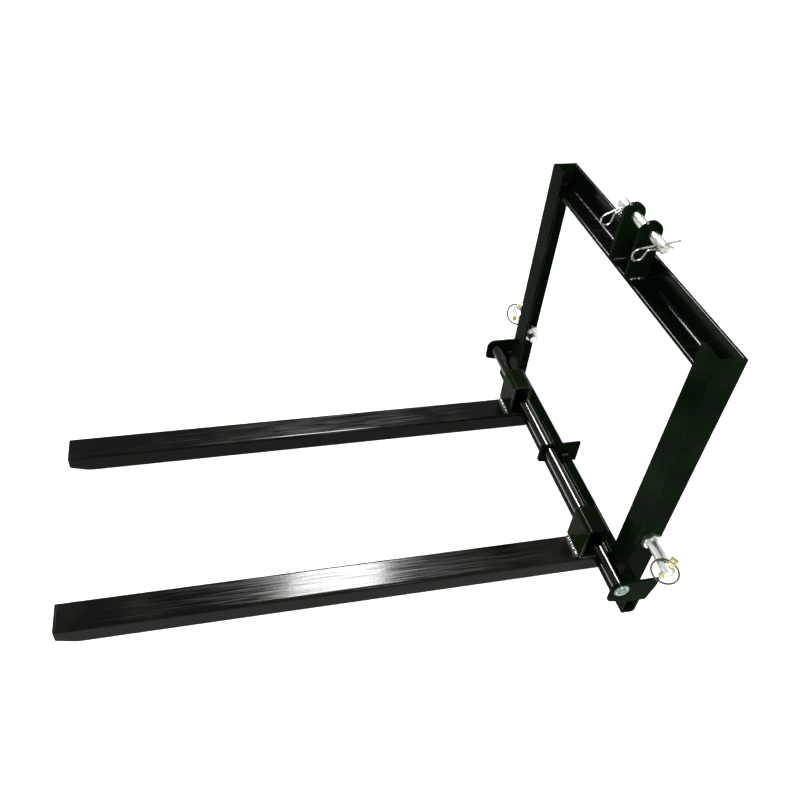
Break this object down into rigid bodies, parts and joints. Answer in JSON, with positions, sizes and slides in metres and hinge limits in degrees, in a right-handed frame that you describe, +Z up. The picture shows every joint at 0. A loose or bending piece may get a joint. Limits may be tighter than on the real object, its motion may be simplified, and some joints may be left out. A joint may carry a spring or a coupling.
{
  "type": "three-point pallet fork",
  "caption": "Pallet fork for a small tractor's three-point linkage: welded angle-iron frame, slide bar and straight fork arms that slide along it.",
  "frame": {"origin": "middle of the crossbar's bottom face, on the floor", "axes": "+Z up, fork arms along -Y, tractor on the +Y side, slide bar along X"},
  "size_m": [0.8458, 1.1083, 0.6535],
  "materials": {
    "frame_paint": "gloss black paint",
    "fork_paint": "gloss black paint",
    "bar_zinc": "bright zinc plate over drawn bar",
    "pin_zinc": "bright zinc plate over turned bar",
    "clip_wire": "bright zinc plated spring wire",
    "lower_pin_zinc": "bright zinc plate with a faint green passivation",
    "linchpin_zinc": "yellow passivated zinc plate",
    "ring_wire": "yellow passivated zinc plated wire",
    "frame_weld": "weld beads under thin gloss black paint",
    "fork_weld": "weld beads under thin gloss black paint"
  },
  "bodies": {
    "frame": {"crossbar": "frame_paint", "near_end_plate": "frame_paint", "far_end_plate": "frame_paint", "middle_plate": "frame_paint", "slide_bar": "bar_zinc", "near_post": "frame_paint", "far_post": "frame_paint", "top_beam": "frame_paint", "near_ear": "frame_paint", "far_ear": "frame_paint", "top_pin": "pin_zinc", "near_clip": "clip_wire", "far_clip": "clip_wire", "near_lower_pin": "lower_pin_zinc", "far_lower_pin": "lower_pin_zinc", "lower_pin_washers": "lower_pin_zinc", "lower_pin_nuts": "lower_pin_zinc", "near_linchpin": "linchpin_zinc", "far_linchpin": "linchpin_zinc", "bar_welds": "frame_weld", "plate_welds": "frame_weld", "post_welds": "frame_weld", "beam_welds": "frame_weld", "ear_welds": "frame_weld"},
    "near_fork": {"near_arm": "fork_paint", "near_tip_cap": "fork_paint", "near_heel_plate": "fork_paint", "near_sleeve": "fork_paint", "near_sleeve_welds": "fork_weld"},
    "far_fork": {"far_arm": "fork_paint", "far_tip_cap": "fork_paint", "far_heel_plate": "fork_paint", "far_sleeve": "fork_paint", "far_sleeve_welds": "fork_weld"},
    "near_ring": {"near_ring": "ring_wire"},
    "far_ring": {"far_ring": "ring_wire"}
  },
  "joints": [
    {"name": "near_fork_slide", "type": "slide", "parent": "frame", "child": "near_fork", "axis": [1, 0, 0], "range_m": [-0.1947, 0.1087]},
    {"name": "far_fork_slide", "type": "slide", "parent": "frame", "child": "far_fork", "axis": [1, 0, 0], "range_m": [-0.1357, 0.1677]},
    {"name": "near_ring_swing", "type": "hinge", "parent": "frame", "child": "near_ring", "pos_m": [0.4015, 0.01563, 0.18955], "axis": [-0.788, -0.5974, 0.1489], "range_deg": [0, 150]},
    {"name": "far_ring_swing", "type": "hinge", "parent": "frame", "child": "far_ring", "pos_m": [-0.4015, 0.01563, 0.18955], "axis": [0.788, 0.5974, -0.1489], "range_deg": [0, 150]}
  ]
}
